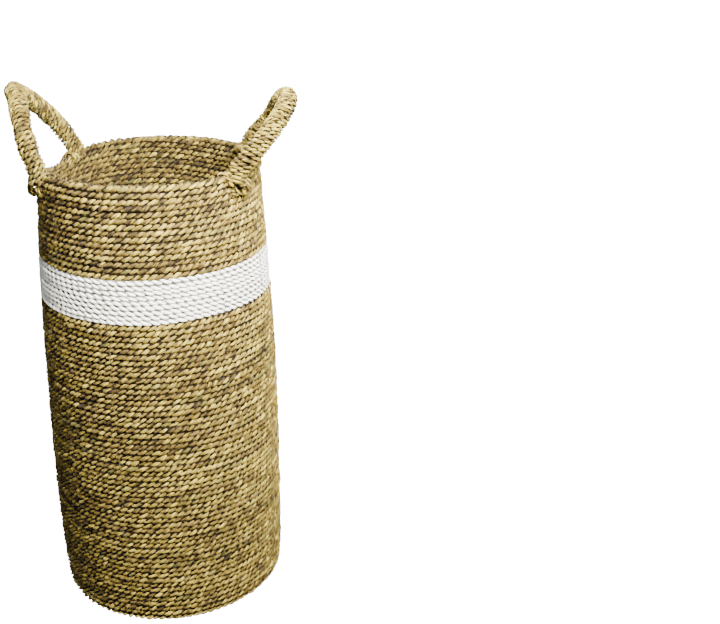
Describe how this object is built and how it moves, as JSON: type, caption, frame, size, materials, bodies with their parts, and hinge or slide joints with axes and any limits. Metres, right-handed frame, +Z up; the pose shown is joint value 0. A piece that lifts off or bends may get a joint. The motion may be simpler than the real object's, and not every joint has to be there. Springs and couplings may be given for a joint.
{
  "type": "laundry basket",
  "caption": "Tall round laundry basket of sewn twisted rope rows with a white cord band, an open top and swinging wrapped rope handles.",
  "frame": {"origin": "centre of the underside, on the floor", "axes": "+Z up along the basket's axis, +X towards the right handle, -X towards the left handle"},
  "size_m": [0.3631, 0.3104, 0.6989],
  "materials": {
    "seagrass_wall": "twisted seagrass rope, matt with a faint straw sheen",
    "seagrass_base": "twisted seagrass rope, sewn in a flat coil",
    "seagrass_handle": "seagrass cord wound tightly, matt",
    "seagrass_core": "bundled seagrass rope",
    "white_cord": "smooth twisted white cord",
    "sewing_thread": "thin straw-coloured thread"
  },
  "bodies": {
    "basket": {"base_coil": "seagrass_base", "corner_rows": "seagrass_wall", "lower_wall": "seagrass_wall", "white_band": "white_cord", "upper_wall": "seagrass_wall", "rim_row": "seagrass_wall", "thread_line_01": "sewing_thread", "thread_line_02": "sewing_thread", "thread_line_03": "sewing_thread", "thread_line_04": "sewing_thread", "thread_line_05": "sewing_thread", "thread_line_06": "sewing_thread", "thread_line_07": "sewing_thread", "thread_line_08": "sewing_thread", "thread_line_09": "sewing_thread", "thread_line_10": "sewing_thread", "thread_line_11": "sewing_thread", "thread_line_12": "sewing_thread", "handle_left_front_lashing": "seagrass_handle", "handle_left_rear_lashing": "seagrass_handle", "handle_right_front_lashing": "seagrass_handle", "handle_right_rear_lashing": "seagrass_handle"},
    "handle_left": {"handle_left_core": "seagrass_core", "handle_left_wrap": "seagrass_handle"},
    "handle_right": {"handle_right_core": "seagrass_core", "handle_right_wrap": "seagrass_handle"}
  },
  "joints": [
    {"name": "handle_left_swing", "type": "hinge", "parent": "basket", "child": "handle_left", "pos_m": [-0.1198, 0, 0.608], "axis": [0, 1, 0], "range_deg": [-44, 43]},
    {"name": "handle_right_swing", "type": "hinge", "parent": "basket", "child": "handle_right", "pos_m": [0.1198, 0, 0.608], "axis": [0, -1, 0], "range_deg": [-32, 55]}
  ]
}
